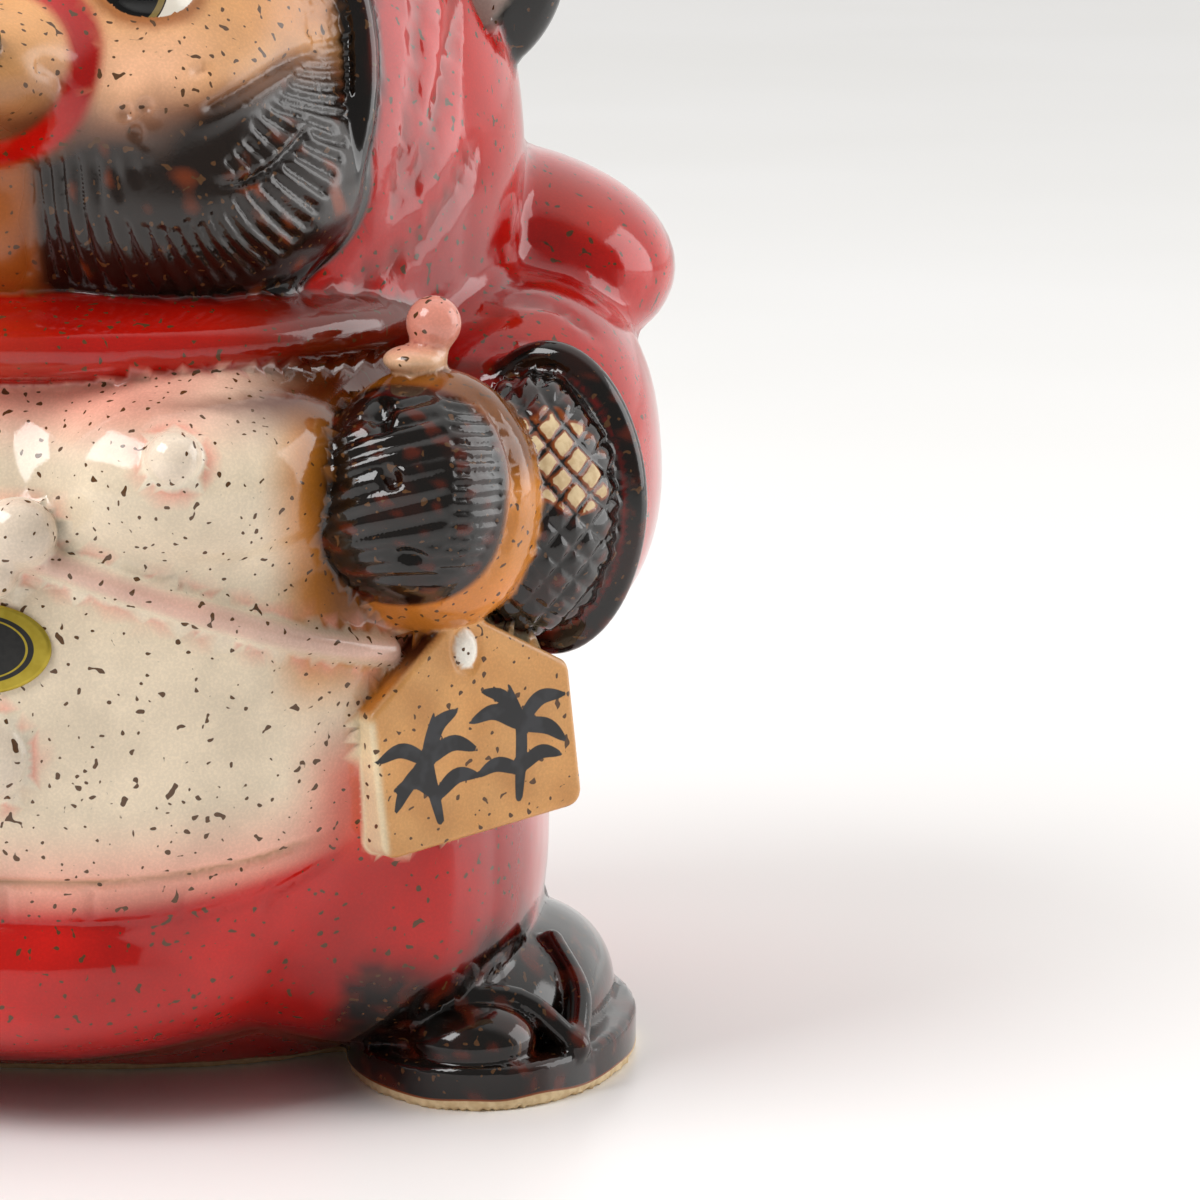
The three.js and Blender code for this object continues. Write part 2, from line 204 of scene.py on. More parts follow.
TORSO = both(BODY, SEAT, BREAST, HIP, LEG, POUCH)
HEAD = both(FACE, CHEEK, JOWL, CHIN)


def on_form(form_distance, x, z, start=-10.0):
    """Depth of a surface in front of a start depth, at a distance from the centre line and a height."""
    inner = np.full(len(x), start)
    outer = np.full(len(x), -140.0)
    for _ in range(24):
        middle = (inner + outer) / 2
        within = form_distance(np.column_stack((x, middle, z))) < 0
        inner = np.where(within, middle, inner)
        outer = np.where(within, outer, middle)
    return inner


def opening_outside(p):
    flat = dict(at=(0, 0, OPENING["up"]), half=(OPENING["half"][0], 1e6, OPENING["half"][1]))
    return np.maximum(outside(flat, p), p[:, 1] - OPENING["deep"])


def hood_outside(p):
    return -joined(-outside(HOOD, p), opening_outside(p), 1.5)


def rim_outside(p):
    up = p[:, 2] - OPENING["up"]
    angle = np.arctan2(up / OPENING["half"][1], p[:, 0] / OPENING["half"][0])
    edge_x = OPENING["half"][0] * np.cos(angle)
    edge_z = OPENING["half"][1] * np.sin(angle)
    beyond = np.hypot(p[:, 0], up) - np.hypot(edge_x, edge_z)
    depth = on_form(lambda q: outside(HOOD, q), edge_x, edge_z + OPENING["up"], HOOD["at"][1] - 0.5)
    return np.hypot(beyond, p[:, 1] - depth - OPENING["sunk"]) - OPENING["rim"]


def cuff_outside(form):
    def distance(p):
        q = (p - form["at"]) @ turn_of(form)
        angle = np.arctan2(q[:, 2] / form["half"][1], q[:, 0] / form["half"][0])
        beyond = np.hypot(q[:, 0], q[:, 2]) - np.hypot(form["half"][0] * np.cos(angle), form["half"][1] * np.sin(angle))
        return np.hypot(beyond, q[:, 1]) - form["tube"]
    return distance


def sole_outside(side):
    def distance(p):
        flat = dict(at=(side * SOLE["at"][0], SOLE["at"][1], 0), half=(*SOLE["half"], 1e6))
        inset = outside(flat, p) + SOLE["edge"]
        over = p[:, 2] - SOLE["tall"] + SOLE["edge"]
        return np.hypot(np.maximum(inset, 0), np.maximum(over, 0)) + np.minimum(np.maximum(inset, over), 0) - SOLE["edge"]
    return distance


def on_tablet(p):
    """Points in the tablet's own frame: across its face, up it, and out of it."""
    lean, turn = math.radians(TABLET["lean"]), math.radians(TABLET["turn"])
    q = p - TABLET["at"]
    across = q[:, 0] * math.cos(turn) + q[:, 1] * math.sin(turn)
    out = q[:, 0] * math.sin(turn) - q[:, 1] * math.cos(turn)
    up = q[:, 2]
    return np.column_stack((
        across * math.cos(lean) + up * math.sin(lean), up * math.cos(lean) - across * math.sin(lean), out,
    ))


def tablet_outside(p):
    q = on_tablet(p)
    edge = TABLET["edge"]
    inset = polygon(q[:, :2], TABLET_CORE) - TABLET["corner"] + edge
    over = np.abs(q[:, 2] + TABLET["thick"] / 2) - TABLET["thick"] / 2 + edge
    return np.hypot(np.maximum(inset, 0), np.maximum(over, 0)) + np.minimum(np.maximum(inset, over), 0) - edge


def rod_outside(line, radius):
    return lambda p: near_line(p, line)[0] - radius


part_of("torso", 1, *TORSO)
part("hood", hood_outside, *box_of(HOOD), 1)
part_of("face", 0.8, *HEAD)
part("rim", rim_outside, (-52, -64, 99), (52, -20, 195), 0.8)
part_of("cape", 5, CAPE)
part_of("collar", 1.6, COLLAR)
part_of("tail", 3, TAIL)
part_of("snout", 7, SNOUT)
part_of("nose", 1, NOSE)
part_of("navel", 0.8, NAVEL)
for mark, side in (("_l", 1), ("_r", -1)):
    def sided(form, side=side):
        return form if side > 0 else twin(form)
    part_of("eye" + mark, 0.7, sided(EYE))
    part_of("ear" + mark, 2, sided(EAR))
    part_of("nipple" + mark, 0.8, sided(NIPPLE))
    part_of("knot" + mark, 1.2, sided(KNOT), {**sided(KNOT_END), "soft": 1.5})
    part_of("flap" + mark, 4, sided(FLAP))
    part_of("sleeve" + mark, 4, sided(SLEEVE))
    part_of("forearm" + mark, 0.8, sided(FOREARM))
    cuff = sided(CUFF)
    reach = np.array((16, 8, 24))
    part("cuff" + mark, cuff_outside(cuff), cuff["at"] - reach, cuff["at"] + reach, 2)
    part_of("paw" + mark, 1, sided(PAW))
    part_of("instep" + mark, 2, sided(INSTEP))
    part_of("toe" + mark, 1.5, sided(TOE))
    centre = np.array((side * SOLE["at"][0], SOLE["at"][1], 0))
    sole_reach = np.array((*SOLE["half"], SOLE["tall"]))
    part("sole" + mark, sole_outside(side), centre - sole_reach, centre + sole_reach, 1)
    for i, points in enumerate(THONGS):
        line = curve(np.array(points) * (side, 1, 1), 16)
        part(f"thong{i}{mark}", rod_outside(line, THONG_RADIUS), line.min(0), line.max(0), 1)
part_of("flask", 1.2, FLASK)
part("neck", rod_outside((NECK["at"], NECK["tip"]), NECK["radius"]), NECK["at"], NECK["tip"], 1)
part_of("lip", 1, LIP)
part_of("stopper", 1, STOPPER)
part("tablet", tablet_outside, (46, -80, 36), (86, -36, 76), 0.8)

cord_flat = curve(CORD["points"], 40)
cord_line = np.column_stack((cord_flat[:, 0], on_form(group(TORSO), cord_flat[:, 0], cord_flat[:, 1]), cord_flat[:, 1]))
part("cord", rod_outside(cord_line, CORD["radius"]), cord_line.min(0), cord_line.max(0), 1.2)


def distances(p):
    """Distance of each point outside each part, where the part is near."""
    result = {}
    for name, (distance, low, high, _) in PARTS.items():
        near = np.flatnonzero(((p > low) & (p < high)).all(1))
        far = np.full(len(p), FAR)
        if len(near):
            far[near] = np.minimum(distance(p[near]), FAR)
        result[name] = far
    return result


def casting(p):
    """Distance outside the whole casting, cut flat at the floor, with the ears hollowed."""
    far = np.full(len(p), FAR)
    for distance, low, high, soft in PARTS.values():
        near = np.flatnonzero(((p > low) & (p < high)).all(1))
        if len(near):
            far[near] = joined(far[near], np.minimum(distance(p[near]), FAR), soft)
    for hollow in (EAR_HOLLOW, twin(EAR_HOLLOW)):
        low, high = box_of(hollow)
        near = np.flatnonzero(((p > low - 4) & (p < high + 4)).all(1))
        if len(near):
            far[near] = -joined(-far[near], outside(hollow, p[near]), 1.2)
    return np.maximum(far, -p[:, 2])


def slope_at(p, step=0.02):
    """Value and direction of steepest rise of the casting's distance, from four nearby values."""
    ways = np.array(((1, -1, -1), (-1, -1, 1), (-1, 1, -1), (1, 1, 1)), float)
    values = [casting(p + step * way) for way in ways]
    rise = sum(value[:, None] * way for value, way in zip(values, ways)) / (4 * step)
    return sum(values) / 4, rise


def settle(p, rounds=3):
    """Moves points onto the casting's surface."""
    for _ in range(rounds):
        value, rise = slope_at(p)
        steep = np.maximum((rise**2).sum(1), 0.25)
        move = -value[:, None] * rise / steep[:, None]
        length = np.linalg.norm(move, axis=1)
        move *= np.minimum(1, 0.8 / np.maximum(length, 1e-9))[:, None]
        p = p + move
    p[:, 2] = np.maximum(p[:, 2], 0)
    return p


def surface_net(low, high, cell):
    """Skin of the casting on an even grid: corner points and triangles."""
    axes = [np.arange(a, b + cell, cell) for a, b in zip(low, high)]
    grid = np.stack(np.meshgrid(*axes, indexing="ij"), -1)
    shape = grid.shape[:3]
    value = casting(grid.reshape(-1, 3)).reshape(shape)
    inside = value < 0
    cells = tuple(n - 1 for n in shape)
    total = np.zeros((*cells, 3))
    count = np.zeros(cells)
    for axis in range(3):
        others = [k for k in range(3) if k != axis]
        first = [slice(None)] * 3
        second = [slice(None)] * 3
        first[axis], second[axis] = slice(0, -1), slice(1, None)
        a, b = value[tuple(first)], value[tuple(second)]
        crosses = (a < 0) != (b < 0)
        share = np.where(crosses, a / np.where(crosses, a - b, 1), 0)
        place = grid[tuple(first)].copy()
        place[..., axis] += share * cell
        place *= crosses[..., None]
        for i in (0, 1):
            for j in (0, 1):
                pick = [slice(None)] * 3
                pick[others[0]] = slice(i, shape[others[0]] - 1 + i)
                pick[others[1]] = slice(j, shape[others[1]] - 1 + j)
                total += place[tuple(pick)]
                count += crosses[tuple(pick)]
    used = count > 0
    index = np.full(cells, -1)
    index[used] = np.arange(used.sum())
    points = total[used] / count[used][:, None]
    faces = []
    for axis in range(3):
        first = [slice(1, -1)] * 3
        second = [slice(1, -1)] * 3
        first[axis], second[axis] = slice(0, -1), slice(1, None)
        a, b = inside[tuple(first)], inside[tuple(second)]
        at = np.argwhere(a != b)
        others = [(axis + 1) % 3, (axis + 2) % 3]
        at[:, others[0]] += 1
        at[:, others[1]] += 1
        out = a[a != b]
        ring = []
        for i, j in ((0, 0), (1, 0), (1, 1), (0, 1)):
            where = at.copy()
            where[:, others[0]] -= i
            where[:, others[1]] -= j
            ring.append(index[tuple(where.T)])
        quad = np.column_stack(ring)
        faces.append(np.where(out[:, None], quad[:, ::-1], quad)[:, ::-1])
    quads = np.concatenate(faces)
    return points, quads


def triangles_of(points, quads):
    """Each quad cut along its shorter diagonal."""
    a, b, c, d = (points[quads[:, k]] for k in range(4))
    short = ((a - c) ** 2).sum(1) <= ((b - d) ** 2).sum(1)
    one = np.where(short[:, None], quads[:, (0, 1, 2)], quads[:, (0, 1, 3)])
    two = np.where(short[:, None], quads[:, (0, 2, 3)], quads[:, (1, 2, 3)])
    return np.concatenate((one, two))


def refined(points, triangles, longest):
    """Cuts every edge longer than is wanted at its middle, and settles the new corners."""
    ends = np.sort(np.concatenate([triangles[:, pair] for pair in ((0, 1), (1, 2), (2, 0))]), axis=1)
    key = ends[:, 0].astype(np.int64) * len(points) + ends[:, 1]
    _, first, which = np.unique(key, return_index=True, return_inverse=True)
    edges = ends[first]
    a, b = points[edges[:, 0]], points[edges[:, 1]]
    middle = (a + b) / 2
    cut = np.linalg.norm(a - b, axis=1) > longest(middle)
    number = np.full(len(edges), -1)
    number[cut] = len(points) + np.arange(cut.sum())
    points = np.concatenate((points, settle(middle[cut], 2)))
    m = number[which.reshape(3, -1).T]
    has = m >= 0
    kinds = has @ (1, 2, 4)
    new = [triangles[kinds == 0]]
    for turn in range(3):
        i, j, k = ((turn + n) % 3 for n in range(3))
        t, n = triangles, m
        one = kinds == 1 << i
        new += [np.column_stack((t[one, i], n[one, i], t[one, k])), np.column_stack((n[one, i], t[one, j], t[one, k]))]
        two = kinds == (1 << i) + (1 << j)
        new += [
            np.column_stack((t[two, i], n[two, i], t[two, k])),
            np.column_stack((n[two, i], n[two, j], t[two, k])),
            np.column_stack((n[two, i], t[two, j], n[two, j])),
        ]
    three = kinds == 7
    t, n = triangles[three], m[three]
    new += [
        np.column_stack((t[:, 0], n[:, 0], n[:, 2])), np.column_stack((t[:, 1], n[:, 1], n[:, 0])),
        np.column_stack((t[:, 2], n[:, 2], n[:, 1])), n,
    ]
    return points, np.concatenate(new)


def corner_normals(points, triangles):
    a, b, c = (points[triangles[:, k]] for k in range(3))
    face = np.cross(b - a, c - a)
    total = np.zeros_like(points)
    for k in range(3):
        for axis in range(3):
            total[:, axis] += np.bincount(triangles[:, k], face[:, axis], len(points))
    return total / np.maximum(np.linalg.norm(total, axis=1), 1e-12)[:, None]


def seen(x, z):
    """Points where straight lines from the front first meet the casting."""
    p = np.column_stack((x, np.full(len(x), -110.0), z))
    for _ in range(60):
        p[:, 1] += 0.7 * np.maximum(casting(p), 0)
    return p


def lifted(pairs, count=9):
    flat = curve(pairs, count) if len(pairs) > 2 else np.linspace(pairs[0], pairs[1], count)
    return seen(flat[:, 0], flat[:, 1])


# Carved lines, as pairs of distance from the centre line and height, seen from the front. Between one
# pair of FANS and the next, count lines run from the first stroke to the last.
def fan(strokes, count):
    strokes = np.array(strokes, float)
    flat = curve(strokes.reshape(len(strokes), -1), count)
    return [stroke.reshape(strokes.shape[1:]) for stroke in flat]


FLUTES = fan((
    ((6.5, 137), (7.2, 128), (8, 119.5)), ((10, 138.5), (10.6, 128), (12, 118.8)),
    ((15, 138.5), (16.2, 128), (18.5, 118.2)), ((20.4, 138), (21.9, 128), (24.5, 118.2)),
    ((24.3, 135.6), (26.2, 127.5), (29.5, 118.8)), ((28.2, 133), (30.3, 126.5), (33.8, 119.9)),
    ((32, 132.3), (34.5, 127), (38, 122)), ((35.6, 133.2), (38.6, 129), (41.6, 125.2)),
    ((38.6, 135.2), (41.6, 132.2), (44.4, 129.3)), ((41.2, 137.8), (44, 135.7), (46.4, 133.8)),
    ((43.2, 140.3), (45.4, 138.9), (47.4, 138)),
), 21)
SIDE_FLUTES = fan((
    ((34.6, 134.6), (33.8, 136.2), (32.8, 137.6)), ((38, 136), (36.6, 138), (35, 139.8)),
    ((41, 138.6), (39, 141), (36.8, 143)), ((47.4, 140.6), (43, 142.6), (38.6, 144.6)),
    ((47.8, 143.6), (43.5, 144.9), (39.6, 146.6)), ((48, 147), (44, 147.6), (40.8, 148.6)),
    ((48, 150), (45, 149.9), (42.4, 150.2)),
), 12)
BROW_FLUTES = fan((
    ((47.8, 152.6), (45, 151.9), (42.6, 152)), ((47.6, 157.6), (44.6, 156.2), (41.4, 155.4)),
    ((46.6, 163.5), (43.6, 161.6), (40.6, 160.4)), ((44.6, 169.5), (41.6, 167), (38.6, 165.4)),
), 7)
SMILE = ((22.6, 143.6), (26, 143.3), (30, 144.3), (34.2, 146.5), (38, 149), (41, 150.6), (44, 151))
JOWL_LINE = ((21.6, 140.4), (24, 137.6), (27, 135.5), (30.5, 134), (34, 134), (37.5, 135.2), (40.5, 137.8), (43, 141))
DIMPLE = ((25.8, 146.4), (27.6, 148.6), (30.2, 150.2))
WHISKER_PITS = ((19.6, 144.3), (22.3, 145.1), (21, 141.6))
NOSTRIL = ((8.6, 151.6), (10.9, 150), (12.2, 147.6))
CHIN_LINE = ((5.6, 138), (5.2, 130), (4.6, 120))

HOOD_FOLDS = (
    ((54.8, 172), (55.6, 158), (55.4, 143), (53, 126)),
    ((59.6, 168), (60, 155), (58.7, 142), (54.4, 127)),
    ((63.4, 135), (57.4, 125), (47.5, 117.6)),
    ((61.8, 129.6), (55.6, 121.6), (46, 115)),
)
SLEEVE_FOLDS = (
    ((64, 109.6), (69, 112.6), (75.4, 111.4), (81.4, 107.2)),
    ((63.6, 104.6), (70, 107.6), (77, 105.6), (83, 100.6)),
)
FLAP_FOLD = ((67.6, 120), (73, 118.4), (78, 115.8), (81.6, 113.6))
HEM_UPPER = ((-47, 43.4), (-38, 40.4), (-29, 38.9), (-15, 37.6), (0, 37.8), (15, 37.6), (29, 38.9), (38, 40.4), (47, 43.4))
HEM_LOWER = ((-48, 40), (-40, 35.4), (-29, 32.4), (-15, 31.2), (0, 31.5), (15, 31.2), (29, 32.4), (40, 35.4), (48, 40))
HEM_TICKS = (-39, -27.5, -14, -2.5, 2.5, 14.5, 27, 38.5)

PAW_FURROWS = fan((
    ((46.6, 99), (53, 102.6), (61, 104.4)), ((45.8, 95.4), (54, 98.8), (64, 101)), ((45.6, 90.5), (54, 94), (64.5, 96.4)),
    ((46, 86), (54, 88.6), (64.5, 91)), ((48, 82), (55, 83.8), (64, 85)), ((50.5, 79.4), (56, 80.2), (63, 80.4)),
), 10)
PAW_TICKS = fan((
    ((62, 104.6), (66.8, 103.4)), ((63.6, 101.2), (69, 100)), ((64.4, 96), (70.6, 95)), ((64.6, 91), (71, 90.4)),
    ((63.6, 86), (69.8, 85.4)), ((62, 81.4), (67.6, 81)),
), 15)
PAW_PITS = (((54.1, 102.4), (2.6, 2.6)), ((56.2, 94.6), (2.1, 1.9)), ((58.6, 83.5), (3.4, 1.4)))
WRIST = ((64.8, 105.8), (68.6, 102.4), (71.2, 98), (72.4, 93), (72.2, 88), (70.8, 82.6), (68.6, 78.4))
HATCH = dict(at=(78.4, 89), step=3.1, rise=50, fall=-52, reach=24, count=6)
BARE_CELLS = dict(at=(78.4, 93.4), half=(4.2, 8.2), turn=28)

# A carved line's width and depth on each side of it, and the part that it is cut into.
CARVED = []


def carve(lines, part_names, width, depth, sharp=1.5, both_sides=True):
    for line in lines:
        for side in (1, -1) if both_sides else (1,):
            CARVED.append((lifted([(side * x, z) for x, z in line]), part_names, width, depth, sharp, side))


face_parts = ("face", "snout")
carve(FLUTES, face_parts, 1.25, 0.75)
carve(SIDE_FLUTES, face_parts, 1.0, 0.6)
carve(BROW_FLUTES, face_parts, 1.5, 0.7)
carve([SMILE], face_parts, 1.7, 1.2)
carve([JOWL_LINE], face_parts, 1.3, 1.2)
carve([[(x, z - 2) for x, z in SMILE[:6]]], face_parts, 2.4, -0.55, 2)
carve([[(x, z + 1.8) for x, z in JOWL_LINE]], face_parts, 2.2, -0.6, 2)
carve([DIMPLE], face_parts, 1.3, 0.7)
carve([NOSTRIL], face_parts, 2.2, 1.1)
carve([CHIN_LINE], face_parts, 2.4, 0.9)
carve(HOOD_FOLDS[:2], ("hood",), 3.6, 1.1, 2.2)
carve(HOOD_FOLDS[2:], ("hood", "cape"), 2.6, 0.9, 2.2)
carve(SLEEVE_FOLDS, ("sleeve", "flap", "cape"), 2.6, 0.9, 2.2)
carve([FLAP_FOLD], ("flap",), 2.8, 1.1, 2.2)
carve([HEM_UPPER, HEM_LOWER], ("torso",), 1.5, 0.8, 1.5, False)
carve([((x, 37.2), (x * 0.99, 34.8), (x * 0.98, 32.2)) for x in HEM_TICKS], ("torso",), 1.3, 0.6, 1.5, False)
carve(PAW_FURROWS, ("paw",), 1.5, 0.5)
carve(PAW_TICKS, ("paw",), 0.9, 0.5)
carve([WRIST], ("paw", "forearm"), 1.2, 0.9)
carve([[(x + 1.5, z) for x, z in WRIST]], ("paw", "forearm"), 1.3, -0.5, 2)


def hatch_lines():
    for slant in (HATCH["rise"], HATCH["fall"]):
        along = np.array((math.cos(math.radians(slant)), math.sin(math.radians(slant))))
        across = np.array((-along[1], along[0]))
        for i in range(-HATCH["count"], HATCH["count"] + 1):
            middle = np.array(HATCH["at"]) + across * HATCH["step"] * i
            yield [tuple(middle + along * reach) for reach in np.linspace(-HATCH["reach"], HATCH["reach"], 9)]


def hatch_gap(x, z):
    """Distance to the nearest crossed line of the forearm, seen from the front."""
    best = np.full(len(x), np.inf)
    for slant in (HATCH["rise"], HATCH["fall"]):
        angle = math.radians(slant)
        off = (z - HATCH["at"][1]) * math.cos(angle) - (x - HATCH["at"][0]) * math.sin(angle)
        best = np.minimum(best, np.abs(off - HATCH["step"] * np.round(off / HATCH["step"])))
    return best


def least(near, names):
    return np.min([near[name + mark] if name + mark in near else near[name] if name in near else near[name + mark]
                   for name in names for mark in ("", "_l", "_r") if name in near or name + mark in near], axis=0)


def cloud(p, size, seed):
    """Soft random unevenness between about -1 and 1."""
    rng = np.random.default_rng(seed)
    total = np.zeros(len(p))
    for _ in range(7):
        way = rng.normal(size=3)
        way *= 2 * math.pi / (size * (0.7 + rng.random()) * np.linalg.norm(way))
        total += np.sin(p @ way + rng.random() * 2 * math.pi)
    return total / 3.2


def relief_of(p, near):
    """Height of the carving over the plain forms at each point."""
    height = np.zeros(len(p))
    for line, names, width, depth, sharp, _ in CARVED:
        close = np.flatnonzero(((p > line.min(0) - width) & (p < line.max(0) + width)).all(1))
        if not len(close):
            continue
        gap, passed = near_line(p[close], line)
        ends = smooth(0, 0.08, passed) * smooth(1, 0.92, passed)
        cut = np.maximum(1 - gap / width, 0) ** sharp * depth * (0.25 + 0.75 * ends)
        cut *= smooth(1.6, 0.5, least({k: v[close] for k, v in near.items()}, names))
        height[close] = np.where(depth > 0, np.minimum(height[close], -cut), height[close] - cut)
    side = np.abs(p[:, 0])
    forearm = smooth(0.9, 0.1, least(near, ("forearm",))) * smooth(0.2, 1.2, least(near, ("cuff",)))
    forearm *= smooth(0.2, 1.2, least(near, ("paw",)))
    height -= forearm * 0.6 * np.maximum(1 - hatch_gap(side, p[:, 2]) / 1.1, 0) ** 1.3
    paw = smooth(1.2, 0.3, least(near, ("paw",)))
    for (x, z), (wide, tall) in PAW_PITS:
        gap = np.hypot((side - x) / wide, (p[:, 2] - z) / tall)
        height -= paw * (p[:, 1] < -62) * 1.5 * smooth(1, 0.2, gap)
    face = smooth(1.2, 0.3, near["face"]) * (p[:, 1] < -40)
    for x, z in WHISKER_PITS:
        height -= face * 0.9 * smooth(1.5, 0.3, np.hypot(side - x, p[:, 2] - z))
    q = on_tablet(p)
    gap = np.hypot(q[:, 0] / TABLET["bore"][0], (q[:, 1] - TABLET["hole"]) / TABLET["bore"][1])
    tablet = smooth(0.8, 0.2, near["tablet"]) * (q[:, 2] > -2)
    height += tablet * (0.5 * smooth(1.05, 0.5, gap) - 0.35 * smooth(0.35, 0.0, np.abs(gap - 1.15)))
    # soft pleats round the back of the hood
    around = np.arctan2(p[:, 0], p[:, 1] + 3)
    behind = smooth(0.3, 0.9, p[:, 1] / 66 + 0.35)
    hood = smooth(2, 0.5, near["hood"]) * smooth(150, 124, p[:, 2]) * behind
    height += hood * 0.7 * np.sin(13 * around + 0.05 * p[:, 2])
    return height


def fineness(p):
    """Longest edge that is wanted in the mesh at each point."""
    near = distances(p)
    side = np.abs(p[:, 0])
    x, y, z = p.T
    longest = np.full(len(p), 3.7)

    def want(where, size):
        longest[where] = np.minimum(longest[where], size)

    values = np.sort(np.stack(list(near.values())), axis=0)
    want(values[1] < 1, 1.9)
    fur = (near["face"] < 1.2) & (y < -22) & (z > 116) & (z < 153) & (side < 51) & (side > 4)
    want(fur & (x > 0), 0.75)
    want(fur & (x < 0), 1.25)
    want((near["face"] < 1.2) & (y < -20) & (z < 172), 1.9)
    want(near["rim"] < 0.8, 1.7)
    want(near["eye_l"] < 1.2, 0.6)
    want(near["eye_r"] < 1.2, 0.9)
    want((near["snout"] < 2) & (y < -60), 1.4)
    for name, size in (("paw_l", 0.75), ("paw_r", 1.4), ("forearm_l", 0.75), ("forearm_r", 1.4), ("tablet", 0.75),
                       ("stopper", 0.9), ("lip", 0.9), ("neck", 1.0), ("cord", 1.3), ("navel", 1.3), ("nose", 1.0),
                       ("nipple_l", 1.0), ("nipple_r", 1.3), ("knot_l", 1.1), ("knot_r", 1.3), ("flask", 1.9),
                       ("toe_l", 1.1), ("toe_r", 1.6), ("instep_l", 1.4), ("sole_l", 1.6), ("sole_r", 1.9),
                       ("thong0_l", 1.0), ("thong1_l", 1.0), ("thong0_r", 1.4), ("thong1_r", 1.4), ("cuff_l", 1.3),
                       ("ear_l", 1.6), ("ear_r", 1.9)):
        want(near[name] < 0.7, size)
    hem = (near["torso"] < 1) & (y < -45) & (side < 50) & (z > 28) & (z < 45)
    want(hem, 1.1)
    return longest


points, quads = surface_net((-94, -92, -4), (94, 76, 210), CELL)
points = settle(points)
triangles = triangles_of(points, quads)
for _ in range(3):
    points, triangles = refined(points, triangles, fineness)
print("triangles", len(triangles))

_, rise = slope_at(points)
level = rise / np.maximum(np.linalg.norm(rise, axis=1), 1e-9)[:, None]
near = distances(points)
relief = relief_of(points, near)
relief *= smooth(0.0, 1.5, points[:, 2])
before = corner_normals(points, triangles)
carved = points + level * relief[:, None]
after = corner_normals(carved, triangles)
flat_foot = points[:, 2] < 0.01
normals = level + (after - before)
normals[flat_foot] = before[flat_foot]
normals /= np.maximum(np.linalg.norm(normals, axis=1), 1e-9)[:, None]


def colour(code):
    """Linear colour of a six-digit web colour."""
    parts = [int(code[i:i + 2], 16) / 255 for i in (0, 2, 4)]
    return np.array([v / 12.92 if v <= 0.04045 else ((v + 0.055) / 1.055) ** 2.4 for v in parts])


RED = colour("c8140a")
DEEP_RED = colour("8c0503")
ORANGE_RED = colour("d8381a")
BROWN = colour("5a1e08")
BLACK = colour("120d0a")
CREAM = colour("ead8bd")
PINK = colour("f0a08c")
AMBER = colour("cf8230")
DARK_AMBER = colour("7a4208")
TAN = colour("e2a468")
ROSE_TAN = colour("f0b890")
FUR_WEAR = colour("8a3c18")
CLAY = colour("d8bd92")
WHITE = colour("f2ece0")
ROSE = colour("ee9c88")


def mixed(base, tint, share):
    share = np.clip(share, 0, 1)[:, None]
    return base * (1 - share) + tint * share


def over(names, near, reach=0.9, edge=0.1):
    return smooth(reach, edge, least(near, names))


